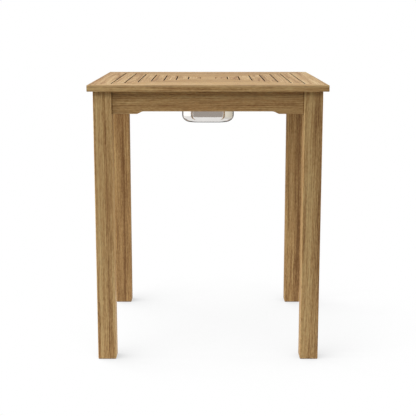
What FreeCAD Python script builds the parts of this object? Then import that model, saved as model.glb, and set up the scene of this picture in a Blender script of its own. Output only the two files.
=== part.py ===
import FreeCAD, Part
import math
import os
import re
import Sketcher

# Slatted teak bar table with a drop-in ice pan under a lift-out lid.
# Millimetres, +Z up, front towards -Y, origin on the floor under the middle of the top.

DECK_RINGS = 5
LID_RINGS = 2
SIDES = {"front": 0, "right": 90, "back": 180, "left": 270}
CORNERS = {"front_left": "front", "front_right": "right", "back_right": "back", "back_left": "left"}
HALF_CORNER = 45
ALONG_X = FreeCAD.Vector(1, 0, 0)
ALONG_Z = FreeCAD.Vector(0, 0, 1)

# How close an edge has to be to a height or a reach, and to an axis, to be taken as on it.
NEAR = 0.01
PARALLEL = 0.999

SIZES = {
    "table_height": 1070,
    "top_thickness": 24,
    "top_overhang": 20,
    "rail_width": 79.5,
    "slat_width": 43.5,
    "slat_gap": 4.5,
    "centre_side": 60,
    "mitre_gap": 0.4,
    "slat_edge_radius": 2,
    "leg_side": 70,
    "leg_edge_radius": 3,
    "foot_chamfer": 3,
    "apron_height": 85,
    "apron_thickness": 24,
    "apron_setback": 8,
    "apron_foot": 94.5,
    "apron_edge_radius": 2,
    "relief_height": 9.5,
    "relief_angle": 26,
    "relief_radius": 30,
    "batten_width": 45,
    "batten_thickness": 22,
    "ledge_width": 60,
    "block_thickness": 32,
    "block_height": 60,
    "block_leg_gap": 3,
    "pan_depth": 153,
    "pan_sheet": 1,
    "pan_corner_radius": 68,
    "pan_bottom_radius": 28,
    "pan_bend_radius": 2.5,
    "pan_clearance": 2,
    "rim_width": 13,
    "rim_cover": 6.5,
    "rim_corner_radius": 28,
    "rim_edge_radius": 1,
    "seat_depth": 5,
    "lid_clearance": 0.3,
    "lid_batten_width": 40,
    "lid_batten_thickness": 16,
    "lid_batten_clearance": 5,
    "lap_clearance": 0.2,
    "bolt_diameter": 8,
    "bolt_spacing": 30,
    "bolt_bite": 48,
    "bolt_tail": 4,
    "bolt_clearance": 0.5,
    "washer_diameter": 24,
    "washer_thickness": 2,
    "nut_flats": 13,
    "nut_height": 6.5,
    "screw_diameter": 4.5,
    "screw_head_diameter": 8.5,
    "screw_head_height": 3,
    "screw_grip": 22,
    "screw_bite": 14,
    "screw_spacing": 36,
    "screw_edge": 13,
    "screw_clearance": 0.25,
    "thread_clearance": 0.1,
}

# Halves are measured from the middle of the top towards a side, reaches towards a corner.
DERIVED = {
    "ring_pitch": "slat_width + slat_gap",
    "lid_half": f"centre_side / 2 + {LID_RINGS} * ring_pitch",
    "rail_inner": f"lid_half + slat_gap + {DECK_RINGS} * ring_pitch",
    "top_half": "rail_inner + rail_width",
    "deck_underside": "table_height - top_thickness",
    "mitre_back": "mitre_gap / sqrt(2)",
    "leg_outer": "top_half - top_overhang",
    "leg_inner": "leg_outer - leg_side",
    "leg_reach": "leg_inner * sqrt(2)",
    "apron_outer": "leg_outer - apron_setback",
    "apron_inner": "apron_outer - apron_thickness",
    "apron_reach": "apron_inner * sqrt(2)",
    "apron_bottom": "deck_underside - apron_height",
    "crown_height": "apron_bottom + relief_height",
    "knee_drop": "relief_radius * (1 - cos(relief_angle * 1 deg))",
    "knee_height": "crown_height - knee_drop",
    "foot_half": "leg_inner - apron_foot",
    "knee_half": "foot_half - (relief_height - knee_drop) / tan(relief_angle * 1 deg)",
    "crown_half": "knee_half - relief_radius * sin(relief_angle * 1 deg)",
    "batten_bottom": "deck_underside - batten_thickness",
    "block_outer": "leg_reach - block_leg_gap",
    "block_inner": "block_outer - block_thickness",
    "block_bottom": "batten_bottom - block_height",
    "block_middle": "batten_bottom - block_height / 2",
    "rim_half": "lid_half - rim_cover",
    "rim_top": "deck_underside + lid_clearance",
    "rim_bottom": "deck_underside - seat_depth",
    "pan_half": "rim_half - rim_width",
    "pan_bottom": "rim_top - pan_depth",
    "pan_corner_place": "pan_half - pan_corner_radius",
    "seat_inner": "pan_half + pan_clearance",
    "seat_outer": "rim_half + pan_clearance",
    "ledge_outer": "seat_inner + ledge_width",
    "ledge_reach": "ledge_outer * sqrt(2) - batten_width / 2",
    "ledge_corner": "ledge_reach / sqrt(2)",
    "lid_batten_near": "centre_side / 2 + slat_gap / 2 - lid_batten_width / 2",
    "lid_batten_far": "lid_batten_near + lid_batten_width",
    "lid_batten_room": "pan_corner_radius - pan_sheet - lid_batten_clearance",
    "lid_batten_overlap": "max(lid_batten_far - pan_corner_place; 0)",
    "lid_batten_half": "pan_corner_place + sqrt(lid_batten_room ^ 2 - lid_batten_overlap ^ 2)",
    "lid_batten_bottom": "rim_top - lid_batten_thickness",
    "washer_place": "block_inner - washer_thickness",
    "nut_place": "washer_place - nut_height",
    "bolt_place": "nut_place - bolt_tail",
    "bolt_length": "leg_reach + bolt_bite - bolt_place",
    "screw_place": "block_outer * sqrt(2) - apron_inner - screw_edge",
    "screw_seat": "apron_inner - screw_grip",
    "bolt_tip_radius": "bolt_diameter / 8",
    "bolt_tip_length": "bolt_diameter / 2",
    "bolt_shank": "bolt_length - bolt_tip_length",
    "screw_tip_radius": "screw_diameter / 8",
    "nut_land_radius": "0.48 * nut_flats",
}

BOLT_HEIGHTS = ["block_middle - bolt_spacing / 2", "block_middle + bolt_spacing / 2"]
SCREW_HEIGHTS = ["block_middle - screw_spacing / 2", "block_middle + screw_spacing / 2"]

doc = FreeCAD.newDocument("bar_table")
sheet = doc.addObject("Spreadsheet::Sheet", "Sizes")
kept = {}


def fill_sheet():
    cells = [(name, str(number)) for name, number in SIZES.items()]
    cells += [(name, "=" + formula) for name, formula in DERIVED.items()]
    for row, (name, content) in enumerate(cells, 1):
        sheet.set(f"A{row}", name)
        sheet.set(f"B{row}", content)
        sheet.setAlias(f"B{row}", name)
    doc.recompute()


# Every alias has an underscore in it, which tells it from a function or a unit.
def linked(formula):
    return re.sub(r"[a-z]+_\w+", lambda word: "Sizes." + word.group(), formula)


def size(formula):
    return float(sheet.evalExpression(linked(formula)))


def bind(thing, prop, formula):
    thing.setExpression(prop, linked(formula))


def turned(angle):
    return FreeCAD.Placement(FreeCAD.Vector(), FreeCAD.Rotation(ALONG_Z, angle))


# A corner lies half a right angle before the side that it is listed with.
def corner_angle(corner):
    return SIDES[CORNERS[corner]] - HALF_CORNER


def keep(label, thing):
    thing.Label = label
    kept[label] = thing


def new_body(label, angle=0):
    body = doc.addObject("PartDesign::Body", label)
    body.Label = label
    body.Placement = turned(angle)
    return body


def origin_plane(body, role):
    return next(item for item in body.Origin.OriginFeatures if item.Role == role)


# A sketch plane can be set off along its normal and swung about its own upright axis.
def new_sketch(body, role, offset="0", swing=0):
    sketch = body.newObject("Sketcher::SketchObject", body.Name + "_sketch")
    sketch.AttachmentSupport = [(origin_plane(body, role), "")]
    sketch.MapMode = "FlatFace"
    upright = FreeCAD.Rotation(FreeCAD.Vector(0, 1, 0), swing)
    sketch.AttachmentOffset = FreeCAD.Placement(FreeCAD.Vector(), upright)
    bind(sketch, "AttachmentOffset.Base.z", offset)
    return sketch


def dimension(sketch, formula, kind, *ends):
    index = sketch.addConstraint(Sketcher.Constraint(kind, *ends, size(formula)))
    bind(sketch, f"Constraints[{index}]", formula)


# The point of an arc half way between its ends, for a bulge to the right of the way along it.
def arc_top(start, end, radius):
    chord = end - start
    rise = radius - math.sqrt(radius ** 2 - chord.Length ** 2 / 4)
    aside = FreeCAD.Vector(chord.y, -chord.x, 0).normalize()
    return (start + end) * 0.5 + aside * rise


# Closed outline that mirrors about the sketch's upright axis, in stations of half width and height.
# The stretch after a station listed in arcs is an arc of the radius given with it.
def mirrored_outline(sketch, stations, arcs=()):
    right = [FreeCAD.Vector(size(half), size(height), 0) for half, height in stations]
    left = [FreeCAD.Vector(-corner.x, corner.y, 0) for corner in reversed(right)]
    corners = right + left
    last = len(corners) - 1
    bends = dict(arcs)
    bends.update((last - 1 - i, radius) for i, radius in arcs)
    for i, start in enumerate(corners):
        end = corners[i - last]
        if i in bends:
            sketch.addGeometry(Part.Arc(start, arc_top(start, end, size(bends[i])), end), False)
        else:
            sketch.addGeometry(Part.LineSegment(start, end), False)
    for i in range(len(corners)):
        sketch.addConstraint(Sketcher.Constraint("Coincident", i, 2, (i + 1) % len(corners), 1))
    for i, radius in bends.items():
        dimension(sketch, radius, "Radius", i)
    for i, (half, height) in enumerate(stations):
        sketch.addConstraint(Sketcher.Constraint("Symmetric", i, 1, last - i, 1, -2))
        dimension(sketch, f"2 * ({half})", "DistanceX", last - i, 1, i, 1)
        dimension(sketch, height, "DistanceY", -1, 1, i, 1)


def rectangle(sketch, left, bottom, width, height):
    low = FreeCAD.Vector(size(left), size(bottom), 0)
    across = FreeCAD.Vector(size(width), 0, 0)
    up = FreeCAD.Vector(0, size(height), 0)
    corners = [low, low + across, low + across + up, low + up]
    for i, kind in enumerate(["Horizontal", "Vertical", "Horizontal", "Vertical"]):
        sketch.addGeometry(Part.LineSegment(corners[i], corners[i - 3]), False)
        sketch.addConstraint(Sketcher.Constraint(kind, i))
    for i in range(4):
        sketch.addConstraint(Sketcher.Constraint("Coincident", i, 2, (i + 1) % 4, 1))
    dimension(sketch, left, "DistanceX", -1, 1, 0, 1)
    dimension(sketch, bottom, "DistanceY", -1, 1, 0, 1)
    dimension(sketch, width, "DistanceX", 0, 1, 0, 2)
    dimension(sketch, height, "DistanceY", 1, 1, 1, 2)


# Square about the origin with rounded corners, drawn anticlockwise from its front side.
def rounded_square(sketch, half, radius):
    first = sketch.GeometryCount
    reach = size(half)
    bend = size(radius)
    flat = reach - bend
    for i in range(4):
        spin = turned(90 * i)
        start = spin.multVec(FreeCAD.Vector(-flat, -reach, 0))
        end = spin.multVec(FreeCAD.Vector(flat, -reach, 0))
        circle = Part.Circle(spin.multVec(FreeCAD.Vector(flat, -flat, 0)), ALONG_Z, bend)
        sketch.addGeometry(Part.LineSegment(start, end), False)
        quarter = Part.ArcOfCircle(circle, math.radians(90 * (i - 1)), math.radians(90 * i))
        sketch.addGeometry(quarter, False)
    for i in range(8):
        sketch.addConstraint(Sketcher.Constraint("Tangent", first + i, 2, first + (i + 1) % 8, 1))
    for arc in (first + 3, first + 5, first + 7):
        sketch.addConstraint(Sketcher.Constraint("Equal", first + 1, arc))
    sketch.addConstraint(Sketcher.Constraint("Symmetric", first, 1, first, 2, -2))
    sketch.addConstraint(Sketcher.Constraint("Symmetric", first + 2, 1, first + 2, 2, -1))
    sketch.addConstraint(Sketcher.Constraint("Horizontal", first + 4))
    sketch.addConstraint(Sketcher.Constraint("Vertical", first + 6))
    dimension(sketch, radius, "Radius", first + 1)
    dimension(sketch, half, "DistanceY", first, 1, -1, 1)
    dimension(sketch, half, "DistanceX", -1, 1, first + 2, 1)


def circles(sketch, places, radius):
    for across, up in places:
        index = sketch.GeometryCount
        middle = FreeCAD.Vector(size(across), size(up), 0)
        sketch.addGeometry(Part.Circle(middle, ALONG_Z, size(radius)), False)
        dimension(sketch, radius, "Radius", index)
        dimension(sketch, across, "DistanceX", -1, 1, index, 3)
        dimension(sketch, up, "DistanceY", -1, 1, index, 3)


def add_pad(body, sketch, length):
    pad = body.newObject("PartDesign::Pad", body.Name + "_pad")
    pad.Profile = sketch
    bind(pad, "Length", length)
    doc.recompute()


# A pocket that takes nothing away points the wrong way.
def add_pocket(body, sketch, length, along_normal=False):
    before = body.Tip.Shape.Volume
    pocket = body.newObject("PartDesign::Pocket", body.Name + "_pocket")
    pocket.Profile = sketch
    pocket.Reversed = along_normal
    bind(pocket, "Length", length)
    doc.recompute()
    if pocket.Shape.Volume >= before:
        raise RuntimeError(f"{pocket.Name} cuts nothing")
    return pocket


# The same pockets again on the other side of the body's own left-right plane.
def add_mirror(body, pockets):
    before = body.Tip.Shape.Volume
    mirror = body.newObject("PartDesign::Mirrored", body.Name + "_mirror")
    mirror.Originals = pockets
    mirror.MirrorPlane = (origin_plane(body, "YZ_Plane"), [""])
    body.Tip = mirror
    doc.recompute()
    if mirror.Shape.Volume >= before:
        raise RuntimeError(f"{mirror.Name} cuts nothing")


def dress(body, kind, prop, amount, wanted):
    base = body.Tip
    edges = [f"Edge{i}" for i, edge in enumerate(base.Shape.Edges, 1) if wanted(edge)]
    feature = body.newObject(kind, body.Name + "_edges")
    feature.Base = (base, edges)
    bind(feature, prop, amount)
    doc.recompute()


def round_edges(body, radius, wanted):
    dress(body, "PartDesign::Fillet", "Radius", radius, wanted)


def chamfer_edges(body, amount, wanted):
    dress(body, "PartDesign::Chamfer", "Size", amount, wanted)


def runs_along(edge, axis):
    span = edge.Vertexes[-1].Point - edge.Vertexes[0].Point
    return span.Length > 0 and abs(span.dot(axis)) > PARALLEL * span.Length


def lies_at(edge, height):
    return all(abs(corner.Z - height) < NEAR for corner in edge.Vertexes)


def lies_on_square(edge, height, half):
    reaches = [max(abs(corner.X), abs(corner.Y)) for corner in edge.Vertexes]
    return lies_at(edge, height) and all(abs(reach - half) < NEAR for reach in reaches)


# An edge of a board's front or back outline, no higher than the height given.
def is_lower_edge(edge, height):
    across = edge.Vertexes[-1].Point - edge.Vertexes[0].Point
    return across.y == 0 and all(corner.Z < height + NEAR for corner in edge.Vertexes)


# A board of the top: long edges along its side of the table, ends mitred on the diagonals.
def mitred_board(label, angle, near, far, bottom):
    body = new_body(label, angle)
    sketch = new_sketch(body, "XY_Plane", bottom)
    stations = [(f"{reach} - mitre_back", f"-({reach})") for reach in (near, far)]
    mirrored_outline(sketch, stations)
    add_pad(body, sketch, f"table_height - {bottom}")
    round_edges(body, "slat_edge_radius", lambda edge: runs_along(edge, ALONG_X))
    keep(label, body)


def top_boards():
    for side, angle in SIDES.items():
        mitred_board(f"top_rail_{side}", angle, "rail_inner", "top_half", "deck_underside")
        for ring in range(1, DECK_RINGS + 1):
            near = f"rail_inner - {ring} * ring_pitch"
            mitred_board(f"slat_{side}_{ring}", angle, near, f"{near} + slat_width", "deck_underside")
        for ring in range(1, LID_RINGS + 1):
            near = f"lid_half + slat_gap - {ring} * ring_pitch"
            mitred_board(f"lid_slat_{side}_{ring}", angle, near, f"{near} + slat_width", "rim_top")


def lid_centre():
    body = new_body("lid_centre")
    sketch = new_sketch(body, "XY_Plane", "rim_top")
    rectangle(sketch, "-centre_side / 2", "-centre_side / 2", "centre_side", "centre_side")
    add_pad(body, sketch, "table_height - rim_top")
    round_edges(body, "slat_edge_radius", lambda edge: lies_at(edge, size("table_height")))
    keep("lid_centre", body)


# Two battens each way inside the pan's mouth, short of its round corners, halved over each other
# where they cross.
def lid_batten(side, angle):
    body = new_body(f"lid_batten_{side}", angle)
    sketch = new_sketch(body, "XY_Plane", "lid_batten_bottom")
    stations = [("lid_batten_half", "-lid_batten_near"), ("lid_batten_half", "-lid_batten_far")]
    mirrored_outline(sketch, stations)
    add_pad(body, sketch, "lid_batten_thickness")
    under = side in ("front", "back")
    notch = new_sketch(body, "XY_Plane", "lid_batten_bottom" if under else "rim_top")
    start = "-lid_batten_far - lap_clearance"
    width = "lid_batten_width + 2 * lap_clearance"
    rectangle(notch, start, start, width, width)
    depth = "lid_batten_thickness / 2 + lap_clearance / 2"
    add_mirror(body, [add_pocket(body, notch, depth, along_normal=under)])
    return body.Shape


# Holes along the diagonal, from the table's axis outwards.
def drill_for_bolts(body, swing, radius, depth):
    sketch = new_sketch(body, "XZ_Plane", swing=swing)
    circles(sketch, [("0", height) for height in BOLT_HEIGHTS], radius)
    add_pocket(body, sketch, depth, along_normal=True)


def leg(corner, angle):
    body = new_body(f"leg_{corner}", angle + HALF_CORNER)
    sketch = new_sketch(body, "XY_Plane")
    rectangle(sketch, "-leg_outer", "-leg_outer", "leg_side", "leg_side")
    add_pad(body, sketch, "deck_underside")
    round_edges(body, "leg_edge_radius", lambda edge: runs_along(edge, ALONG_Z))
    chamfer_edges(body, "foot_chamfer", lambda edge: lies_at(edge, 0))
    depth = "leg_reach + bolt_bite + thread_clearance"
    drill_for_bolts(body, -HALF_CORNER, "bolt_diameter / 2 + thread_clearance", depth)
    keep(body.Label, body)


# Full depth by the legs, then a slope and an arc up to the raised middle of the lower edge.
def apron(side, angle):
    body = new_body(f"apron_{side}", angle)
    sketch = new_sketch(body, "XZ_Plane", "apron_inner")
    stations = [
        ("leg_inner", "deck_underside"),
        ("leg_inner", "apron_bottom"),
        ("foot_half", "apron_bottom"),
        ("knee_half", "knee_height"),
        ("crown_half", "crown_height"),
    ]
    knee = 3
    mirrored_outline(sketch, stations, arcs=[(knee, "relief_radius")])
    add_pad(body, sketch, "apron_thickness")
    crown = size("crown_height")
    round_edges(body, "apron_edge_radius", lambda edge: is_lower_edge(edge, crown))
    pilots = new_sketch(body, "XZ_Plane", "apron_inner")
    places = [(across, up) for across in ("-screw_place", "screw_place") for up in SCREW_HEIGHTS]
    circles(pilots, places, "screw_diameter / 2 + thread_clearance")
    add_pocket(body, pilots, "screw_bite + thread_clearance", along_normal=True)
    keep(body.Label, body)


# Glue block across a corner; its bolts pull the leg in and its screws hold both aprons.
def corner_block(corner, angle):
    body = new_body(f"corner_block_{corner}", angle)
    sketch = new_sketch(body, "XY_Plane", "block_bottom")
    ends = [(f"apron_reach - {reach}", f"-{reach}") for reach in ("block_inner", "block_outer")]
    mirrored_outline(sketch, ends)
    add_pad(body, sketch, "block_height")
    drill_for_bolts(body, 0, "bolt_diameter / 2 + bolt_clearance", "leg_reach")
    bores = [("screw_diameter", "apron_inner"), ("screw_head_diameter", "screw_seat")]
    pockets = []
    for diameter, depth in bores:
        bore = new_sketch(body, "XZ_Plane", swing=HALF_CORNER)
        places = [("-screw_place", up) for up in SCREW_HEIGHTS]
        circles(bore, places, f"{diameter} / 2 + screw_clearance")
        pockets.append(add_pocket(body, bore, depth, along_normal=True))
    add_mirror(body, pockets)
    keep(body.Label, body)


def batten(label, angle, start, end):
    body = new_body(label, angle)
    sketch = new_sketch(body, "XY_Plane", "batten_bottom")
    mirrored_outline(sketch, [("batten_width / 2", f"-{reach}") for reach in (start, end)])
    add_pad(body, sketch, "batten_thickness")
    return body


# One side of the frame that carries the pan: mitred, rebated for the rim, corners cut for the battens.
def ledge(side, angle):
    body = new_body(f"ledge_{side}", angle)
    sketch = new_sketch(body, "XY_Plane", "batten_bottom")
    stations = [
        ("seat_inner - mitre_back", "-seat_inner"),
        ("ledge_corner - mitre_back / 2", "-ledge_corner - mitre_back / 2"),
        ("2 * ledge_corner - ledge_outer", "-ledge_outer"),
    ]
    mirrored_outline(sketch, stations)
    add_pad(body, sketch, "batten_thickness")
    rebate = new_sketch(body, "XY_Plane", "deck_underside")
    rectangle(rebate, "-seat_outer", "-seat_outer", "2 * seat_outer", "seat_outer")
    add_pocket(body, rebate, "seat_depth")
    keep(body.Label, body)


# Deep-drawn sheet pan: a well with round corners in a flat square rim, which is turned down at its edge.
def pan():
    body = new_body("pan")
    well = new_sketch(body, "XY_Plane", "pan_bottom")
    rounded_square(well, "pan_half", "pan_corner_radius")
    add_pad(body, well, "pan_depth")
    rim = new_sketch(body, "XY_Plane", "rim_bottom")
    rounded_square(rim, "rim_half", "rim_corner_radius")
    add_pad(body, rim, "rim_top - rim_bottom")
    cavity = new_sketch(body, "XY_Plane", "rim_top")
    rounded_square(cavity, "pan_half - pan_sheet", "pan_corner_radius - pan_sheet")
    add_pocket(body, cavity, "pan_depth - pan_sheet")
    floor = size("pan_bottom + pan_sheet")
    round_edges(body, "pan_bottom_radius - pan_sheet", lambda edge: lies_at(edge, floor))
    round_edges(body, "pan_bottom_radius", lambda edge: lies_at(edge, size("pan_bottom")))
    hem = new_sketch(body, "XY_Plane", "rim_bottom")
    rounded_square(hem, "rim_half - pan_sheet", "rim_corner_radius - pan_sheet")
    rounded_square(hem, "pan_half", "pan_corner_radius")
    add_pocket(body, hem, "rim_top - rim_bottom - pan_sheet", along_normal=True)
    bends = [
        ("pan_bend_radius + pan_sheet", "rim_top", "pan_half - pan_sheet"),
        ("pan_bend_radius", "rim_top - pan_sheet", "pan_half"),
        ("rim_edge_radius + pan_sheet", "rim_top", "rim_half"),
        ("rim_edge_radius", "rim_top - pan_sheet", "rim_half - pan_sheet"),
    ]
    for radius, height, half in bends:
        place = (size(height), size(half))
        round_edges(body, radius, lambda edge: lies_on_square(edge, *place))
    keep("pan", body)


def cylinder(radius, height, bottom="0"):
    thing = doc.addObject("Part::Cylinder", "cylinder")
    bind(thing, "Radius", radius)
    bind(thing, "Height", height)
    bind(thing, "Placement.Base.z", bottom)
    return thing


def cone(low_radius, high_radius, height, bottom="0"):
    thing = doc.addObject("Part::Cone", "cone")
    bind(thing, "Radius1", low_radius)
    bind(thing, "Radius2", high_radius)
    bind(thing, "Height", height)
    bind(thing, "Placement.Base.z", bottom)
    return thing


def joined(kind, base, tool):
    thing = doc.addObject(kind, "joined")
    thing.Base = base
    thing.Tool = tool
    doc.recompute()
    return thing


def hanger_bolt():
    shank = cylinder("bolt_diameter / 2", "bolt_shank")
    tip = cone("bolt_diameter / 2", "bolt_tip_radius", "bolt_tip_length", "bolt_shank")
    return joined("Part::Fuse", shank, tip)


def washer():
    disc = cylinder("washer_diameter / 2", "washer_thickness")
    bore = cylinder("bolt_diameter / 2 + bolt_clearance", "washer_thickness")
    return joined("Part::Cut", disc, bore)


# Hexagon nut with its free face chamfered at 30 degrees.
def nut():
    prism = doc.addObject("Part::Prism", "prism")
    prism.Polygon = 6
    bind(prism, "Circumradius", "nut_flats / sqrt(3)")
    bind(prism, "Height", "nut_height")
    chamfer = cone("nut_land_radius", "nut_land_radius + nut_height * sqrt(3)", "nut_height")
    bore = cylinder("bolt_diameter / 2 + thread_clearance", "nut_height")
    return joined("Part::Cut", joined("Part::Common", prism, chamfer), bore)


def wood_screw():
    head = cylinder("screw_head_diameter / 2", "screw_head_height")
    shank = cylinder("screw_diameter / 2", "screw_grip", "screw_head_height")
    point = "screw_head_height + screw_grip"
    tip = cone("screw_diameter / 2", "screw_tip_radius", "screw_bite", point)
    return joined("Part::Fuse", joined("Part::Fuse", head, shank), tip)


# Copies of a fastener, each pointing outwards, set out across, along and up from the table's axis.
def fastener_copies(thing, angles, across, along, heights):
    outwards = FreeCAD.Rotation(ALONG_Z, FreeCAD.Vector(0, -1, 0))
    copies = []
    for angle in angles:
        for aside in across:
            for height in heights:
                place = FreeCAD.Vector(size(aside), -size(along), size(height))
                solid = thing.Shape.copy()
                solid.Placement = turned(angle) * FreeCAD.Placement(place, outwards)
                copies.append(solid)
    return copies


def group(label, solids):
    feature = doc.addObject("Part::Feature", label)
    feature.Shape = Part.makeCompound(solids)
    keep(label, feature)


def fasteners():
    bolted = [corner_angle(corner) for corner in CORNERS]
    group("hanger_bolts", fastener_copies(hanger_bolt(), bolted, ["0"], "bolt_place", BOLT_HEIGHTS))
    group("washers", fastener_copies(washer(), bolted, ["0"], "washer_place", BOLT_HEIGHTS))
    group("nuts", fastener_copies(nut(), bolted, ["0"], "nut_place", BOLT_HEIGHTS))
    ends = ["-screw_place", "screw_place"]
    head = "screw_seat - screw_head_height"
    group("block_screws", fastener_copies(wood_screw(), SIDES.values(), ends, head, SCREW_HEIGHTS))


def write_parts():
    doc.recompute()
    for thing in doc.Objects:
        if "Invalid" in thing.State or "Error" in thing.State:
            raise RuntimeError(f"{thing.Label} failed: {thing.State}")
    for label, thing in kept.items():
        if thing.Shape.isNull() or not thing.Shape.isValid() or not thing.Shape.Solids:
            raise RuntimeError(f"{label} has no valid solid")
    os.makedirs("parts", exist_ok=True)
    for label, thing in kept.items():
        thing.Shape.exportStep(f"parts/{label}.step")
    print(f"{len(kept)} parts written")


fill_sheet()
top_boards()
lid_centre()
group("lid_battens", [lid_batten(side, angle) for side, angle in SIDES.items()])
for corner in CORNERS:
    angle = corner_angle(corner)
    leg(corner, angle)
    corner_block(corner, angle)
    diagonal = batten(f"diagonal_batten_{corner}", angle, "ledge_reach", "block_outer")
    keep(diagonal.Label, diagonal)
for side, angle in SIDES.items():
    apron(side, angle)
    ledge(side, angle)
crosses = []
for side, angle in SIDES.items():
    cross = batten(f"cross_batten_{side}", angle, "ledge_outer", "apron_inner")
    crosses.append(cross.Shape)
group("cross_battens", crosses)
pan()
fasteners()
write_parts()
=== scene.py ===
import math
import random

import bpy
from mathutils import Matrix, Vector


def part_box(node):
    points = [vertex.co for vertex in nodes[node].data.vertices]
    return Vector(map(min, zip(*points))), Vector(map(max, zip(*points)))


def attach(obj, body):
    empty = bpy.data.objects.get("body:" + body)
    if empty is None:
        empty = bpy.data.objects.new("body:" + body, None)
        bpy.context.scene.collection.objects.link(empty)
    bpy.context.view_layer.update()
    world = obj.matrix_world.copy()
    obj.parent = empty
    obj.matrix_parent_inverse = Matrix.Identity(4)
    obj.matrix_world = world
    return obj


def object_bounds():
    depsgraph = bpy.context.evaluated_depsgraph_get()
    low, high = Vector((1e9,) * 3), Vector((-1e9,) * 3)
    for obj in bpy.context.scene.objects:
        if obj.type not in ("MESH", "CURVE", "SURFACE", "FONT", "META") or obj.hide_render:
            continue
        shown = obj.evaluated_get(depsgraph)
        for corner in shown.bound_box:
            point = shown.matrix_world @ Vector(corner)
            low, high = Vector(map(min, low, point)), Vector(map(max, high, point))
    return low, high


# Bar table in teak with a stainless ice pan under a lift-out lid, in metres, front towards -Y
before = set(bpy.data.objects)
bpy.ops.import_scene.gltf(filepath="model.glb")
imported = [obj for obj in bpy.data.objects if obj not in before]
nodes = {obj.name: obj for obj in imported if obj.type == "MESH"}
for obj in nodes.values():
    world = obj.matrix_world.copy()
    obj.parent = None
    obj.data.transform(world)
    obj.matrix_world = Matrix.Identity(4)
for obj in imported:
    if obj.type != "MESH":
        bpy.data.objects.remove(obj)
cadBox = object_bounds()
print("frame loaded:", len(nodes), "CAD nodes")


# sRGB hex to the linear colour that the shaders work in
def linear(hexCode):
    channels = [int(hexCode[i:i + 2], 16) / 255 for i in (1, 3, 5)]
    return [c / 12.92 if c <= 0.04045 else ((c + 0.055) / 1.055) ** 2.4 for c in channels] + [1.0]


def grey(level):
    return (level, level, level, 1.0)


# Adds a node: settings are its properties or sockets, links its fed sockets, stops the colours of a ramp
def addNode(tree, kind, settings=None, links=None, stops=None):
    node = tree.nodes.new(kind)
    for key, value in (settings or {}).items():
        if isinstance(key, str) and hasattr(node, key):
            setattr(node, key, value)
        else:
            node.inputs[key].default_value = value
    for key, socket in (links or {}).items():
        tree.links.new(socket, node.inputs[key])
    if stops:
        elements = node.color_ramp.elements
        while len(elements) < len(stops):
            elements.new(1.0)
        for element, (place, colour) in zip(elements, stops):
            element.position = place
            element.color = colour
    return node


def newMaterial(name):
    material = bpy.data.materials.new(name)
    material.use_nodes = True
    material.node_tree.nodes.clear()
    return material, material.node_tree


def dress(name, material):
    for slot in nodes[name].material_slots:
        slot.material = material


# Teak, planed and sanded, then oiled: golden brown heartwood with darker late wood, fine open pores
# along the grain and a dull satin surface. Each board is cut from a log of its own, so its rings come
# out as stripes, flames or arcs on each face, and mitres and end grain follow by themselves.
teak = {
    "wood": ((0.15, "#7C5937"), (0.50, "#B38F5F"), (0.85, "#D0B47F")),  # from dark to pale
    "ringPitch": 0.0062,  # growth rings, drawn at twice their real width so that they show
    "ring": ((0.0, 0.4), (0.10, 0.9), (0.55, 0.7), (0.90, 0.0), (1.0, 0.4)),  # early to late wood
    "bandPitch": 0.024,  # a few rings together share a tone
    "bandDetail": 2.0,
    "bandRoughness": 0.60,
    "layers": {  # size across and along the grain, detail
        "drift": (0.12, 0.80, 1.5),
        "ripple": (0.020, 0.24, 2.0),
        "streak": (0.014, 0.45, 2.0),
        "fibre": (0.0026, 0.08, 2.0),
        "fleck": (0.0040, 0.014, 1.0),
        "pore": (0.0013, 0.022, 1.0),  # four times the real width, which is too fine to show
        "patch": (0.10, 0.40, 2.0),
    },
    "layerRoughness": 0.55,
    "wander": {"drift": 0.020, "ripple": 0.0032},  # how far the grain bends
    "shares": {"band": 1.00, "streak": 0.85, "late": 0.22, "fibre": 0.70, "fleck": 0.45, "patch": 0.25},
    "broad": ("band", "streak", "patch"),  # the layers that a quiet board has less of
    "pithReach": (0.06, 0.15),
    "pithHeight": 9.0,
    "lean": 1.1,  # degrees
    "stains": {  # reddish patches, then pores, then end grain, which drinks more oil
        "patch": {"colour": "#A8794D", "share": 0.30, "from": 0.45, "to": 0.75},
        "pore": {"colour": "#4E331B", "share": 0.45, "from": 0.60, "to": 0.72},
        "ends": {"colour": "#80592F", "share": 0.55, "from": 0.35, "to": 0.65},
    },
    "inset": 0.01,  # from the outer edge of the top or the lid to where its gaps may begin
    "upright": 0.6,  # most that an upright face's normal rises
    # painted shade and highlight on upright faces, at heights from the top surface
    "gapShade": {"colour": "#2C1B0D", "share": 0.94, "from": 0.0, "to": -0.0024},  # painted shade on the walls of the gaps between boards
    "lidEdgeShade": {"colour": "#2C1B0D", "share": 0.62, "from": 0.0, "to": -0.0024},  # painted shade on the lid's outer walls, lighter than in its inner gaps
    "edgeHighlight": {"colour": "#E2C797", "share": 0.55, "from": -0.009, "to": 0.0},  # painted highlight along the top's outer edge
    "shadedEnd": {"colour": "#2C1B0D", "share": 0.56, "width": 0.007},  # painted shade in the corner where an apron meets a leg
    "roughness": {"from": 0.2, "to": 0.8, "dark": 0.08, "pale": -0.06},  # on top of a board's own
    "bump": 0.0004,
    "bumpStrength": 0.5,
    "poreDepth": -1.5,  # against the height of the fibres
    "ior": 1.5,
    "gloss": 0.12,
}


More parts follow.
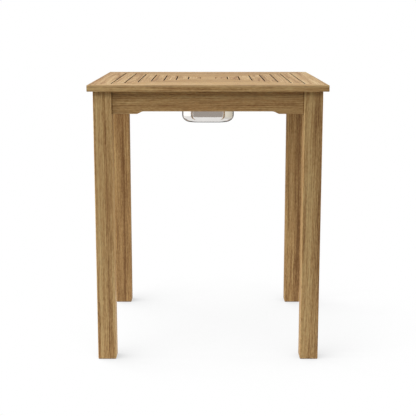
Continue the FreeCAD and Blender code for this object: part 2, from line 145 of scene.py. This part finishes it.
# Place and normal on a board. Where battens lie both ways in one node, X and Y change places outside
# the lane, so that the grain follows them all
def boardCoords(tree, lane):
    coords = addNode(tree, "ShaderNodeTexCoord")
    both = [coords.outputs["Object"], coords.outputs["Normal"]]
    if not lane:
        return both
    spot = addNode(tree, "ShaderNodeSeparateXYZ", None, {0: both[0]})
    aside = addNode(tree, "ShaderNodeMath", {"operation": "ABSOLUTE"}, {0: spot.outputs["X"]})
    inLane = addNode(tree, "ShaderNodeMath", {
        "operation": "COMPARE", 1: lane["middle"], 2: lane["half"],
    }, {0: aside.outputs[0]})
    turned = []
    for vector in both:
        parts = addNode(tree, "ShaderNodeSeparateXYZ", None, {0: vector})
        crossed = addNode(tree, "ShaderNodeCombineXYZ", None, {
            "X": parts.outputs["Y"], "Y": parts.outputs["X"], "Z": parts.outputs["Z"],
        })
        chosen = addNode(tree, "ShaderNodeMix", {"data_type": "VECTOR"}, {
            0: inLane.outputs[0], 4: crossed.outputs[0], 5: vector,
        })
        turned.append(chosen.outputs[1])
    return turned


# The log: grain along its Z, the board set off from the pith and leaning a little
def logCoords(tree, place, board):
    draw = random.Random(board["seed"])
    turn = Vector(board["grain"]).rotation_difference(Vector((0, 0, 1))).to_matrix()
    leanX = math.radians(draw.uniform(-teak["lean"], teak["lean"]))
    leanY = math.radians(draw.uniform(-teak["lean"], teak["lean"]))
    turn = Matrix.Rotation(leanX, 3, "X") @ Matrix.Rotation(leanY, 3, "Y") @ turn
    reach = draw.uniform(*teak["pithReach"])
    swing = draw.uniform(0, 2 * math.pi)
    height = draw.uniform(-teak["pithHeight"], teak["pithHeight"])
    pith = Vector((reach * math.cos(swing), reach * math.sin(swing), height))
    return addNode(tree, "ShaderNodeMapping", {
        "Location": pith - turn @ board["middle"],
        "Rotation": turn.to_euler("XYZ"),
    }, {"Vector": place}).outputs["Vector"]


# Every layer of the figure by name: clouds drawn out along the grain, rings, bands, and end grain
def grainLayers(tree, inLog, normal, grain):
    layers = {}
    for layer, (across, along, detail) in teak["layers"].items():
        stretch = addNode(tree, "ShaderNodeVectorMath", {
            "operation": "MULTIPLY", 1: (1 / across, 1 / across, 1 / along),
        }, {0: inLog})
        cloud = addNode(tree, "ShaderNodeTexNoise", {
            "Scale": 1.0, "Detail": detail, "Roughness": teak["layerRoughness"],
        }, {"Vector": stretch.outputs[0]})
        layers[layer] = cloud.outputs["Fac"]

    # distance from the pith, bent by slow and quick wander of the grain
    flat = addNode(tree, "ShaderNodeVectorMath", {"operation": "MULTIPLY", 1: (1, 1, 0)}, {0: inLog})
    away = addNode(tree, "ShaderNodeVectorMath", {"operation": "LENGTH"}, {0: flat.outputs[0]})
    radius = away.outputs["Value"]
    for layer, bend in teak["wander"].items():
        radius = addNode(tree, "ShaderNodeMath", {
            "operation": "MULTIPLY_ADD", 1: bend,
        }, {0: layers[layer], 2: radius}).outputs[0]

    # late wood darkens towards the end of each ring and stops sharply
    rings = addNode(tree, "ShaderNodeMath", {"operation": "DIVIDE", 1: teak["ringPitch"]}, {0: radius})
    season = addNode(tree, "ShaderNodeMath", {"operation": "FRACT"}, {0: rings.outputs[0]})
    ringStops = [(place, grey(level)) for place, level in teak["ring"]]
    late = addNode(tree, "ShaderNodeValToRGB", None, {"Fac": season.outputs[0]}, ringStops)
    layers["late"] = late.outputs["Color"]
    bands = addNode(tree, "ShaderNodeMath", {"operation": "DIVIDE", 1: teak["bandPitch"]}, {0: radius})
    band = addNode(tree, "ShaderNodeTexNoise", {
        "noise_dimensions": "1D",
        "Scale": 1.0, "Detail": teak["bandDetail"], "Roughness": teak["bandRoughness"],
    }, {"W": bands.outputs[0]})
    layers["band"] = band.outputs["Fac"]

    # how squarely a face cuts the grain
    cut = addNode(tree, "ShaderNodeVectorMath", {
        "operation": "DOT_PRODUCT", 1: Vector(grain).normalized(),
    }, {0: normal})
    ends = addNode(tree, "ShaderNodeMath", {"operation": "ABSOLUTE"}, {0: cut.outputs["Value"]})
    layers["ends"] = ends.outputs[0]
    return layers


# All the layers add up to one level from dark to pale
def woodLevel(tree, layers, board):
    shares = dict(teak["shares"])
    for layer in teak["broad"]:
        shares[layer] *= board["figure"]
    base = 0.5 + board["tone"] - sum(shares.values()) / 2
    level = None
    for layer, share in shares.items():
        links = {0: layers[layer]}
        if level is not None:
            links[2] = level  # in place of the base, which only the first one adds
        level = addNode(tree, "ShaderNodeMath", {
            "operation": "MULTIPLY_ADD", 1: share, 2: base,
        }, links).outputs[0]
    return level


# The colour, and how much of a pore there is
def woodColour(tree, layers, level):
    woodStops = [(place, linear(colour)) for place, colour in teak["wood"]]
    wood = addNode(tree, "ShaderNodeValToRGB", None, {"Fac": level}, woodStops)
    colour = wood.outputs["Color"]
    amounts = {}
    for layer, stain in teak["stains"].items():
        amounts[layer] = addNode(tree, "ShaderNodeMapRange", {
            "From Min": stain["from"], "From Max": stain["to"], "To Max": stain["share"],
        }, {"Value": layers[layer]}).outputs["Result"]
        colour = addNode(tree, "ShaderNodeMix", {
            "data_type": "RGBA", "blend_type": "MIX", 7: linear(stain["colour"]),
        }, {0: amounts[layer], 6: colour}).outputs[2]
    return colour, amounts["pore"]


# Upright faces of the top or the lid: painted shade on the walls of the gaps inside, and on the outer
# edge a painted highlight along the top and lighter painted shade round the lid
def paintGapShadeAndEdgeLight(tree, colour, place, normal, outer, edgeLight):
    spot = addNode(tree, "ShaderNodeSeparateXYZ", None, {0: place})
    aim = addNode(tree, "ShaderNodeSeparateXYZ", None, {0: normal})
    upright = addNode(tree, "ShaderNodeMath", {
        "operation": "COMPARE", 1: 0.0, 2: teak["upright"],
    }, {0: aim.outputs["Z"]}).outputs[0]
    inside = upright
    for axis, limit in (("X", outer.x), ("Y", outer.y)):
        within = addNode(tree, "ShaderNodeMath", {
            "operation": "COMPARE", 1: 0.0, 2: limit - teak["inset"],
        }, {0: spot.outputs[axis]})
        inside = addNode(tree, "ShaderNodeMath", {"operation": "MULTIPLY"}, {
            0: inside, 1: within.outputs[0],
        }).outputs[0]
    outside = addNode(tree, "ShaderNodeMath", {"operation": "SUBTRACT"}, {
        0: upright, 1: inside,
    }).outputs[0]
    # painted shade on the gap walls, then the painted light of the outer edge
    for mask, paintedLight in ((inside, teak["gapShade"]), (outside, teak[edgeLight])):
        height = addNode(tree, "ShaderNodeMapRange", {
            "From Min": outer.z + paintedLight["from"], "From Max": outer.z + paintedLight["to"],
            "To Max": paintedLight["share"],
        }, {"Value": spot.outputs["Z"]})
        share = addNode(tree, "ShaderNodeMath", {"operation": "MULTIPLY"}, {
            0: mask, 1: height.outputs["Result"],
        })
        colour = addNode(tree, "ShaderNodeMix", {
            "data_type": "RGBA", "blend_type": "MIX", 7: linear(paintedLight["colour"]),
        }, {0: share.outputs[0], 6: colour}).outputs[2]
    return colour


# Both ends of an apron: painted shade, darker in the corner with the leg
def paintEndShade(tree, colour, place, grain, end):
    shadedEnd = teak["shadedEnd"]
    run = addNode(tree, "ShaderNodeVectorMath", {"operation": "DOT_PRODUCT", 1: grain}, {0: place})
    fromMiddle = addNode(tree, "ShaderNodeMath", {"operation": "ABSOLUTE"}, {0: run.outputs["Value"]})
    near = addNode(tree, "ShaderNodeMapRange", {
        "interpolation_type": "SMOOTHSTEP",
        "From Min": end - shadedEnd["width"], "From Max": end, "To Max": shadedEnd["share"],
    }, {"Value": fromMiddle.outputs[0]})
    return addNode(tree, "ShaderNodeMix", {
        "data_type": "RGBA", "blend_type": "MIX", 7: linear(shadedEnd["colour"]),
    }, {0: near.outputs["Result"], 6: colour}).outputs[2]


def teakMaterial(board):
    material, tree = newMaterial("oiled_teak_" + board["name"])
    place, normal = boardCoords(tree, board["lane"])
    inLog = logCoords(tree, place, board)
    layers = grainLayers(tree, inLog, normal, board["grain"])
    level = woodLevel(tree, layers, board)
    colour, pores = woodColour(tree, layers, level)
    if board["edge"]:
        colour = paintGapShadeAndEdgeLight(tree, colour, place, normal, *board["edge"])
    if board["shadedEnd"]:
        colour = paintEndShade(tree, colour, place, board["grain"], board["shadedEnd"])
    swing = teak["roughness"]
    rough = addNode(tree, "ShaderNodeMapRange", {
        "From Min": swing["from"], "From Max": swing["to"],
        "To Min": board["roughness"] + swing["dark"], "To Max": board["roughness"] + swing["pale"],
    }, {"Value": level})
    height = addNode(tree, "ShaderNodeMath", {
        "operation": "MULTIPLY_ADD", 1: teak["poreDepth"],
    }, {0: pores, 2: layers["fibre"]})
    bump = addNode(tree, "ShaderNodeBump", {
        "Strength": teak["bumpStrength"], "Distance": teak["bump"],
    }, {"Height": height.outputs[0]})
    shader = addNode(tree, "ShaderNodeBsdfPrincipled", {
        "IOR": teak["ior"], "Specular IOR Level": teak["gloss"],
    }, {
        "Base Color": colour,
        "Roughness": rough.outputs["Result"],
        "Normal": bump.outputs["Normal"],
    })
    addNode(tree, "ShaderNodeOutputMaterial", None, {"Surface": shader.outputs["BSDF"]})
    return material


# Which way the grain runs in each board
sides = {"front": (1, 0, 0), "right": (0, 1, 0), "back": (1, 0, 0), "left": (0, 1, 0)}
corners = {
    "front_left": (1, 1, 0), "front_right": (-1, 1, 0), "back_right": (1, 1, 0), "back_left": (-1, 1, 0),
}
boards = {"lid_centre": (1, 0, 0), "lid_battens": (0, 1, 0), "cross_battens": (0, 1, 0)}
for side, along in sides.items():
    for kind in ("top_rail", "apron", "ledge"):
        boards[f"{kind}_{side}"] = along
    for ring in range(1, 6):
        boards[f"slat_{side}_{ring}"] = along
    for ring in range(1, 3):
        boards[f"lid_slat_{side}_{ring}"] = along
for corner, along in corners.items():
    boards["leg_" + corner] = (0, 0, 1)
    boards["diagonal_batten_" + corner] = along
    boards["corner_block_" + corner] = (along[0], -along[1], 0)

# The battens that run along Y are those in the lane, by their distance from the middle in X
lidBattenLine = 0.03225  # from the lid's middle to the middle line of a batten
lanes = {
    "lid_battens": {"middle": lidBattenLine, "half": 0.0201},
    "cross_battens": {"middle": 0.0, "half": 0.1},
}

# How pale or dark, lively and smooth each board is
boardLook = {
    "spread": 0.07,
    "chosen": {  # boards picked for the front of the table: tone and which log
        "leg_front_left": (0.015, 4400),
        "leg_front_right": (-0.02, 1100),
        "leg_back_left": (-0.12, 1000),
        "leg_back_right": (-0.09, 3000),
        # the front apron's tone is set a little darker, as painted shade
        "apron_front": (-0.02, 5000),
        "top_rail_front": (0.02, 2000),
        "slat_front_1": (0.02, 0),
        "slat_left_1": (0.03, 0),
        "slat_left_3": (0.02, 0),
        "slat_left_5": (0.01, 0),
    },
    "figure": 1.0,
    "apronFigure": 0.50,  # aprons are cut from quieter boards
    "sawn": ("ledge", "diagonal", "cross", "corner", "lid_battens"),
    "sawnRoughness": 0.68,
    "sandedRoughness": 0.52,
}
lidCorner = Vector((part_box("lid_slat_right_1")[1].x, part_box("lid_slat_back_1")[1].y, cadBox[1].z))
for count, (name, grain) in enumerate(sorted(boards.items())):
    low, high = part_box(name)
    drawn = random.Random(count).uniform(-boardLook["spread"], boardLook["spread"])
    tone, log = boardLook["chosen"].get(name, (drawn, 0))
    apron = name.startswith("apron")
    sawn = name.startswith(boardLook["sawn"])
    edge = None
    if name.startswith(("top_rail", "slat")):
        edge = (cadBox[1], "edgeHighlight")
    elif name.startswith(("lid_slat", "lid_centre")):
        edge = (lidCorner, "lidEdgeShade")
    dress(name, teakMaterial({
        "name": name,
        "grain": grain,
        "middle": (low + high) / 2,
        "seed": count + log,
        "tone": tone,
        "figure": boardLook["apronFigure" if apron else "figure"],
        "roughness": boardLook["sawnRoughness" if sawn else "sandedRoughness"],
        "edge": edge,  # outer corner of the top or the lid that the board is in, and the painted light for that edge
        "shadedEnd": Vector(grain).dot(high) if apron else None,  # where the board ends along its grain, for the painted shade at the leg
        "lane": lanes.get(name),
    }))
print("teak boards:", len(boards))


# Stainless steel, deep drawn and polished with a fine satin grain round its walls: grey and mirror-like,
# with soft streaks and faint clouds from the drawing die
stainless = {
    "colour": "#E8E5E2",
    "shade": "#E0DDDA",
    "grain": (0.09, 0.09, 0.0011),  # polishing lines, along and across
    "cloud": 0.045,
    "detail": 3.0,
    "mottle": (0.10, 0.45),  # lines times clouds, from smooth to dull
    "roughness": (0.10, 0.17),
    "bump": 0.00002,
    "bumpStrength": 0.15,
}


def stainlessMaterial():
    material, tree = newMaterial("satin_stainless_steel")
    coords = addNode(tree, "ShaderNodeTexCoord")
    stretch = addNode(tree, "ShaderNodeVectorMath", {
        "operation": "MULTIPLY", 1: [1 / length for length in stainless["grain"]],
    }, {0: coords.outputs["Object"]})
    lines = addNode(tree, "ShaderNodeTexNoise", {
        "Scale": 1.0, "Detail": stainless["detail"],
    }, {"Vector": stretch.outputs[0]})
    clouds = addNode(tree, "ShaderNodeTexNoise", {
        "Scale": 1 / stainless["cloud"], "Detail": stainless["detail"],
    }, {"Vector": coords.outputs["Object"]})
    both = addNode(tree, "ShaderNodeMath", {"operation": "MULTIPLY"}, {
        0: lines.outputs["Fac"], 1: clouds.outputs["Fac"],
    })
    smooth, dull = stainless["mottle"]
    low, high = stainless["roughness"]
    rough = addNode(tree, "ShaderNodeMapRange", {
        "From Min": smooth, "From Max": dull, "To Min": low, "To Max": high,
    }, {"Value": both.outputs[0]})
    tint = addNode(tree, "ShaderNodeMix", {
        "data_type": "RGBA", 6: linear(stainless["colour"]), 7: linear(stainless["shade"]),
    }, {0: clouds.outputs["Fac"]})
    bump = addNode(tree, "ShaderNodeBump", {
        "Strength": stainless["bumpStrength"], "Distance": stainless["bump"],
    }, {"Height": lines.outputs["Fac"]})
    shader = addNode(tree, "ShaderNodeBsdfPrincipled", {"Metallic": 1.0}, {
        "Base Color": tint.outputs[2],
        "Roughness": rough.outputs["Result"],
        "Normal": bump.outputs["Normal"],
    })
    addNode(tree, "ShaderNodeOutputMaterial", None, {"Surface": shader.outputs["BSDF"]})
    return material


# Zinc-plated steel: pale bluish grey with a mottled, half-dull passivated surface
zinc = {
    "pale": "#BFC3C6",
    "dull": "#9DA1A4",
    "mottle": 0.004,
    "detail": 3.0,
    "roughness": (0.28, 0.48),
}


def zincMaterial():
    material, tree = newMaterial("zinc_plated_steel")
    coords = addNode(tree, "ShaderNodeTexCoord")
    mottle = addNode(tree, "ShaderNodeTexNoise", {
        "Scale": 1 / zinc["mottle"], "Detail": zinc["detail"],
    }, {"Vector": coords.outputs["Object"]})
    tint = addNode(tree, "ShaderNodeMix", {
        "data_type": "RGBA", 6: linear(zinc["pale"]), 7: linear(zinc["dull"]),
    }, {0: mottle.outputs["Fac"]})
    low, high = zinc["roughness"]
    rough = addNode(tree, "ShaderNodeMapRange", {
        "To Min": low, "To Max": high,
    }, {"Value": mottle.outputs["Fac"]})
    shader = addNode(tree, "ShaderNodeBsdfPrincipled", {"Metallic": 1.0}, {
        "Base Color": tint.outputs[2],
        "Roughness": rough.outputs["Result"],
    })
    addNode(tree, "ShaderNodeOutputMaterial", None, {"Surface": shader.outputs["BSDF"]})
    return material


zincPlated = zincMaterial()
dress("pan", stainlessMaterial())
for name in ("hanger_bolts", "washers", "nuts", "block_screws"):
    dress(name, zincPlated)
print("metals done")


# Pan-head screws with a cross recess in a low dome: up through the battens into each slat, and in the
# counterbores of the corner blocks
screw = {
    "head": 0.0082,
    "rim": 0.0011,
    "dome": ((0.0012, 0.0006), (0.0014, 0.0003)),  # inset and drop of each step
    "recess": (0.0046, 0.0011, 0.0012),  # length, width, depth of the cross
    "taper": (0.55, 0.7, 1),  # the bottom of the cross against its mouth
    "facets": 20,
    "smoothAngle": 40,
    "apart": 0.011,  # on both sides of a mitre or a batten's middle line
    "ringHalves": (0.33450, 0.29625, 0.24825, 0.20025),  # middle of each ring of slats over the battens
    "railHalf": 0.384,
    "diagonalReach": (0.4620, 0.4190, 0.3511, 0.2832),  # the same rings along a mitre
    "ledgeHalf": 0.150,  # up through the ledge rails
    "ledgeAsides": (0.040, 0.110),
    "lidAsides": (0.066, 0.090),  # along the middle line of a lid batten
    "lidHalves": (0.021, 0.043),  # beside that line, half-way along it
    "blockAside": 0.30476,  # into the aprons, two at each end of a block
    "blockOut": 0.3730,
    "blockHeights": (0.976, 1.012),
    "blockSunk": 0.0009,  # in the CAD head
}


def pickFaces(piece, wanted):
    bpy.ops.object.mode_set(mode="EDIT")
    bpy.ops.mesh.select_mode(type="FACE")
    bpy.ops.mesh.select_all(action="DESELECT")
    bpy.ops.object.mode_set(mode="OBJECT")
    for face in piece.data.polygons:
        face.select = wanted(face)
    bpy.ops.object.mode_set(mode="EDIT")


# One head under z = 0, facing down
def screwHead():
    rim = screw["rim"]
    bpy.ops.object.select_all(action="DESELECT")
    bpy.ops.mesh.primitive_cylinder_add(
        vertices=screw["facets"], radius=screw["head"] / 2, depth=rim, location=(0, 0, -rim / 2),
    )
    head = bpy.context.object
    pickFaces(head, lambda face: face.normal.z < -0.9)
    for inset, drop in screw["dome"]:
        bpy.ops.mesh.inset(thickness=inset)
        bpy.ops.transform.translate(value=(0, 0, -drop))
    bpy.ops.object.mode_set(mode="OBJECT")
    bpy.ops.object.transform_apply(location=True, rotation=False, scale=False)
    lowest = min(corner.co.z for corner in head.data.vertices)

    # the cross, narrower at its bottom
    length, width, depth = screw["recess"]
    for turn in (0, math.pi / 2):
        bpy.ops.object.select_all(action="DESELECT")
        bpy.ops.mesh.primitive_cube_add(size=1, location=(0, 0, lowest), rotation=(0, 0, turn))
        bar = bpy.context.object
        bar.scale = (length, width, 2 * depth)
        pickFaces(bar, lambda face: face.normal.z > 0.9)
        bpy.ops.transform.resize(value=screw["taper"])
        bpy.ops.object.mode_set(mode="OBJECT")
        bpy.ops.object.transform_apply(location=True, rotation=True, scale=True)
        bpy.ops.object.select_all(action="DESELECT")
        head.select_set(True)
        bpy.context.view_layer.objects.active = head
        cut = head.modifiers.new("recess", "BOOLEAN")
        cut.operation = "DIFFERENCE"
        cut.object = bar
        bpy.ops.object.modifier_apply(modifier=cut.name)
        bpy.data.objects.remove(bar, do_unlink=True)
    bpy.ops.object.shade_smooth_by_angle(angle=math.radians(screw["smoothAngle"]))
    return head


# Copies of a fastener, each turned on its own axis, joined into one piece
def fastenersAt(name, model, places, body, seed):
    draw = random.Random(seed)
    bpy.ops.object.select_all(action="DESELECT")
    for place in places:
        copy = bpy.data.objects.new(name, model.data.copy())
        copy.data.transform(place @ Matrix.Rotation(draw.uniform(0, math.pi), 4, "Z"))
        bpy.context.collection.objects.link(copy)
        copy.select_set(True)
    bpy.context.view_layer.objects.active = copy
    bpy.ops.object.join()
    joined = bpy.context.object
    joined.name = name
    joined.data.materials.clear()
    joined.data.materials.append(zincPlated)
    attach(joined, body)
    print(name + ":", len(places))


# A place for something that faces down, or level along a direction
def placeFacing(direction, point):
    turn = Vector((0, 0, -1)).rotation_difference(Vector(direction))
    return Matrix.Translation(point) @ turn.to_matrix().to_4x4()


def quarterTurns(degrees=0):
    return [Matrix.Rotation(math.radians(degrees + 90 * quarter), 3, "Z") for quarter in range(4)]


def woodScrews():
    head = screwHead()
    down = (0, 0, -1)
    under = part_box("cross_battens")[0].z
    table = []
    for aside in (-screw["apart"], screw["apart"]):
        for spin in quarterTurns():
            for half in screw["ringHalves"] + (screw["railHalf"],):
                table.append(placeFacing(down, spin @ Vector((aside, -half, under))))
        for spin in quarterTurns(45):
            for reach in screw["diagonalReach"]:
                table.append(placeFacing(down, spin @ Vector((aside, -reach, under))))
    for spin in quarterTurns():
        for offset in screw["ledgeAsides"]:
            for aside in (-offset, offset):
                table.append(placeFacing(down, spin @ Vector((aside, -screw["ledgeHalf"], under))))

    lid = []
    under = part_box("lid_battens")[0].z
    for spin in quarterTurns():
        for offset in screw["lidAsides"]:
            for aside in (-offset, offset):
                lid.append(placeFacing(down, spin @ Vector((aside, -lidBattenLine, under))))
        for half in screw["lidHalves"]:
            lid.append(placeFacing(down, spin @ Vector((0, -half, under))))

    blocks = []
    out = screw["blockOut"] + screw["blockSunk"]
    for spin in quarterTurns():
        inward = spin @ Vector((0, 1, 0))
        for aside in (-screw["blockAside"], screw["blockAside"]):
            for height in screw["blockHeights"]:
                blocks.append(placeFacing(inward, spin @ Vector((aside, -out, height))))

    fastenersAt("slat_screws", head, table, "table", 11)
    fastenersAt("lid_screws", head, lid, "lid", 12)
    fastenersAt("block_screw_heads", head, blocks, "table", 13)
    bpy.data.objects.remove(head, do_unlink=True)


# Thread on the tails of the hanger bolts, past the nuts
thread = {
    "radius": 0.0040,
    "pitch": 0.00125,
    "ridge": 0.00050,
    "start": 0.0006,
    "turns": 2,
    "steps": 24,
    "reach": 0.46161,  # of a bolt's end along the diagonal
    "heights": (0.979, 1.009),
}


def boltThreads():
    bpy.ops.object.select_all(action="DESELECT")
    bpy.ops.mesh.primitive_circle_add(
        vertices=3, radius=thread["ridge"], location=(thread["radius"], 0, thread["start"]),
        rotation=(math.radians(90), 0, 0),
    )
    ridge = bpy.context.object
    bpy.ops.object.transform_apply(location=True, rotation=True, scale=False)
    wind = ridge.modifiers.new("wind", "SCREW")
    wind.screw_offset = thread["pitch"]
    wind.iterations = thread["turns"]
    wind.steps = thread["steps"]
    wind.render_steps = thread["steps"]
    bpy.ops.object.modifier_apply(modifier=wind.name)
    bpy.ops.object.mode_set(mode="EDIT")
    bpy.ops.mesh.select_all(action="SELECT")
    bpy.ops.mesh.fill_holes(sides=3)
    bpy.ops.mesh.normals_make_consistent(inside=False)
    bpy.ops.object.mode_set(mode="OBJECT")
    bpy.ops.object.shade_flat()
    tails = []
    for spin in quarterTurns(45):
        inward = spin @ Vector((0, 1, 0))
        for height in thread["heights"]:
            tails.append(placeFacing(inward, spin @ Vector((0, -thread["reach"], height))))
    fastenersAt("bolt_threads", ridge, tails, "table", 14)
    bpy.data.objects.remove(ridge, do_unlink=True)


woodScrews()
boltThreads()


# White studio: floor and world are white to the eye, the light itself stays plain and soft
studio = {
    "worldLevel": 0.04,
    "floorSide": 60.0,
    "floorColours": ("#F2F2F2", "#707070"),  # a white sheet under the table, on a grey studio floor
    "sheetReach": (1.0, 2.2),
    "shadow": {  # painted shadow from ambient occlusion: a little more than white in the open, leaning as if the light came from the left
        "distance": 3.0, "lean": (-0.40, -0.10, 0.90), "open": 1.22, "darkest": 0.53, "samples": 32,
    },
    "shadowReach": (1.6, 3.2),  # past this the floor is plain white
    "lamps": {  # place, what it points at, side, level in watts
        "overhead": ((-0.3, -0.4, 4.7), (0.0, 0.0, 0.0), 5.0, 80.0),
        "front": ((-0.6, -2.8, 3.3), (0.0, 0.0, 0.6), 1.6, 42.0),
        "left": ((-4.2, -0.6, 2.0), (0.0, 0.0, 0.6), 2.6, 225.0),
        "right": ((4.2, 0.0, 2.0), (0.0, 0.0, 0.6), 2.6, 170.0),
    },
    "cards": {  # middle, width, height, lean back and turn in degrees, colour at both ends, level
        "front": ((0.0, -2.0, 0.81), 3.2, 1.38, 0, 0, ("#ADA69F", "#ADA69F"), 1.0),
        "left": ((-2.0, 0.0, 1.15), 3.4, 1.2, 0, 90, ("#FFFFFF", "#FFFFFF"), 1.35),
        "right": ((2.0, 0.0, 0.875), 3.4, 1.75, 0, 90, ("#FFFBEE", "#CFC8B6"), 1.0),
        "back": ((0.0, 2.0, 0.66), 4.2, 0.72, 0, 0, ("#302E2C", "#423F3C"), 1.0),
        "low": ((0.0, 1.275, 0.15), 0.8, 1.48, 78.3, 0, ("#3C3A38", "#3C3A38"), 1.0),
        "lowWide": ((0.0, 1.275, 0.14), 2.4, 1.48, 78.3, 0, ("#A2A09E", "#A2A09E"), 1.0),
        "lowRight": ((1.45, 0.0, 0.03), 1.1, 3.4, 90, 0, ("#E6E4DE", "#E6E4DE"), 1.0),
    },
}


# One shader for the light that falls on things, another for what is seen, mirrored or looked through
def seenMix(tree, plain, seen):
    path = addNode(tree, "ShaderNodeLightPath")
    total = path.outputs["Is Camera Ray"]
    for ray in ("Is Glossy Ray", "Is Transmission Ray"):
        total = addNode(tree, "ShaderNodeMath", {"operation": "MAXIMUM"}, {
            0: total, 1: path.outputs[ray],
        }).outputs[0]
    return addNode(tree, "ShaderNodeMixShader", None, {0: total, 1: plain, 2: seen}).outputs[0]


def whiteWorld():
    world = bpy.data.worlds.new("white_studio")
    bpy.context.scene.world = world
    world.use_nodes = True
    tree = world.node_tree
    tree.nodes.clear()
    plain = addNode(tree, "ShaderNodeBackground", {"Color": grey(1.0), "Strength": studio["worldLevel"]})
    seen = addNode(tree, "ShaderNodeBackground", {"Color": grey(1.0), "Strength": 1.0})
    mixed = seenMix(tree, plain.outputs[0], seen.outputs[0])
    addNode(tree, "ShaderNodeOutputWorld", None, {"Surface": mixed})


# Seen through from below, so that the underside of the table can be looked at
def whiteFloor():
    bpy.ops.object.select_all(action="DESELECT")
    bpy.ops.mesh.primitive_plane_add(size=studio["floorSide"], location=(0, 0, 0))
    floor = bpy.context.object
    floor.name = "studio_floor"
    material, tree = newMaterial("white_floor")
    coords = addNode(tree, "ShaderNodeTexCoord")
    away = addNode(tree, "ShaderNodeVectorMath", {"operation": "LENGTH"}, {0: coords.outputs["Object"]})
    fades = []
    for low, high in (studio["sheetReach"], studio["shadowReach"]):
        fade = addNode(tree, "ShaderNodeMapRange", {
            "interpolation_type": "SMOOTHSTEP", "From Min": low, "From Max": high,
        }, {"Value": away.outputs["Value"]})
        fades.append(fade.outputs["Result"])
    sheet, ground = studio["floorColours"]
    paper = addNode(tree, "ShaderNodeMix", {
        "data_type": "RGBA", 6: linear(sheet), 7: linear(ground),
    }, {0: fades[0]})
    matt = addNode(tree, "ShaderNodeBsdfDiffuse", None, {"Color": paper.outputs[2]})

    # what is seen: white, with a soft painted shadow round the legs, from ambient occlusion
    shadow = studio["shadow"]
    lean = addNode(tree, "ShaderNodeCombineXYZ", dict(zip("XYZ", shadow["lean"])))
    shade = addNode(tree, "ShaderNodeAmbientOcclusion", {
        "samples": shadow["samples"], "Distance": shadow["distance"],
    }, {"Normal": lean.outputs[0]})
    level = addNode(tree, "ShaderNodeMapRange", {
        "From Max": 1 / shadow["open"], "To Min": shadow["darkest"],
    }, {"Value": shade.outputs["AO"]})
    bright = addNode(tree, "ShaderNodeMath", {"operation": "MAXIMUM"}, {
        0: level.outputs["Result"], 1: fades[1],
    })
    lit = addNode(tree, "ShaderNodeEmission", None, {"Strength": bright.outputs[0]})
    mixed = seenMix(tree, matt.outputs[0], lit.outputs[0])
    side = addNode(tree, "ShaderNodeNewGeometry")
    clear = addNode(tree, "ShaderNodeBsdfTransparent")
    oneWay = addNode(tree, "ShaderNodeMixShader", None, {
        0: side.outputs["Backfacing"], 1: mixed, 2: clear.outputs[0],
    })
    addNode(tree, "ShaderNodeOutputMaterial", None, {"Surface": oneWay.outputs[0]})
    material.cycles.emission_sampling = "NONE"
    floor.data.materials.append(material)


def studioLamps():
    for name, (place, target, side, power) in studio["lamps"].items():
        lamp = bpy.data.lights.new("lamp_" + name, "AREA")
        lamp.size = side
        lamp.energy = power
        holder = bpy.data.objects.new("lamp_" + name, lamp)
        holder.location = place
        holder.rotation_euler = (Vector(target) - Vector(place)).to_track_quat("-Z", "Y").to_euler()
        holder.visible_camera = False
        holder.visible_glossy = False
        bpy.context.scene.collection.objects.link(holder)


# Glowing cards seen only in reflections, painted reflections for the polished pan and the wood's sheen:
# grey in front, white and cream at the sides, dark behind,
# and three that lie low, dark and grey behind and pale at the right
def studioCards():
    for name, (middle, width, height, lean, turn, colours, level) in studio["cards"].items():
        bpy.ops.object.select_all(action="DESELECT")
        bpy.ops.mesh.primitive_plane_add(
            size=1, location=middle, rotation=(math.radians(90 - lean), 0, math.radians(turn)),
        )
        card = bpy.context.object
        card.name = "studio_card_" + name
        card.scale = (width, height, 1)
        material, tree = newMaterial("card_" + name)
        coords = addNode(tree, "ShaderNodeTexCoord")
        spot = addNode(tree, "ShaderNodeSeparateXYZ", None, {0: coords.outputs["Object"]})
        across = addNode(tree, "ShaderNodeMath", {"operation": "ADD", 1: 0.5}, {0: spot.outputs["X"]})
        tint = addNode(tree, "ShaderNodeMix", {
            "data_type": "RGBA", 6: linear(colours[0]), 7: linear(colours[1]),
        }, {0: across.outputs[0]})
        glow = addNode(tree, "ShaderNodeEmission", {"Strength": level}, {"Color": tint.outputs[2]})
        addNode(tree, "ShaderNodeOutputMaterial", None, {"Surface": glow.outputs[0]})
        material.cycles.emission_sampling = "NONE"
        card.data.materials.append(material)
        card.visible_camera = False
        card.visible_diffuse = False
        card.visible_transmission = False
        card.visible_shadow = False


# Camera solved from the photograph's edges: straight at the front, a little above the top
camera = {"place": (0.0, -4.1218, 1.3204), "pitch": 10.984, "lens": 85.48, "sensor": 36.0}


def frontCamera():
    data = bpy.data.cameras.new("front_camera")
    data.lens = camera["lens"]
    data.sensor_width = camera["sensor"]
    holder = bpy.data.objects.new("front_camera", data)
    holder.location = camera["place"]
    holder.rotation_euler = (math.radians(90 - camera["pitch"]), 0, 0)
    bpy.context.scene.collection.objects.link(holder)
    bpy.context.scene.camera = holder


whiteWorld()
whiteFloor()
studioLamps()
studioCards()
frontCamera()
bpy.context.scene.view_settings.view_transform = "Standard"
print("studio ready")
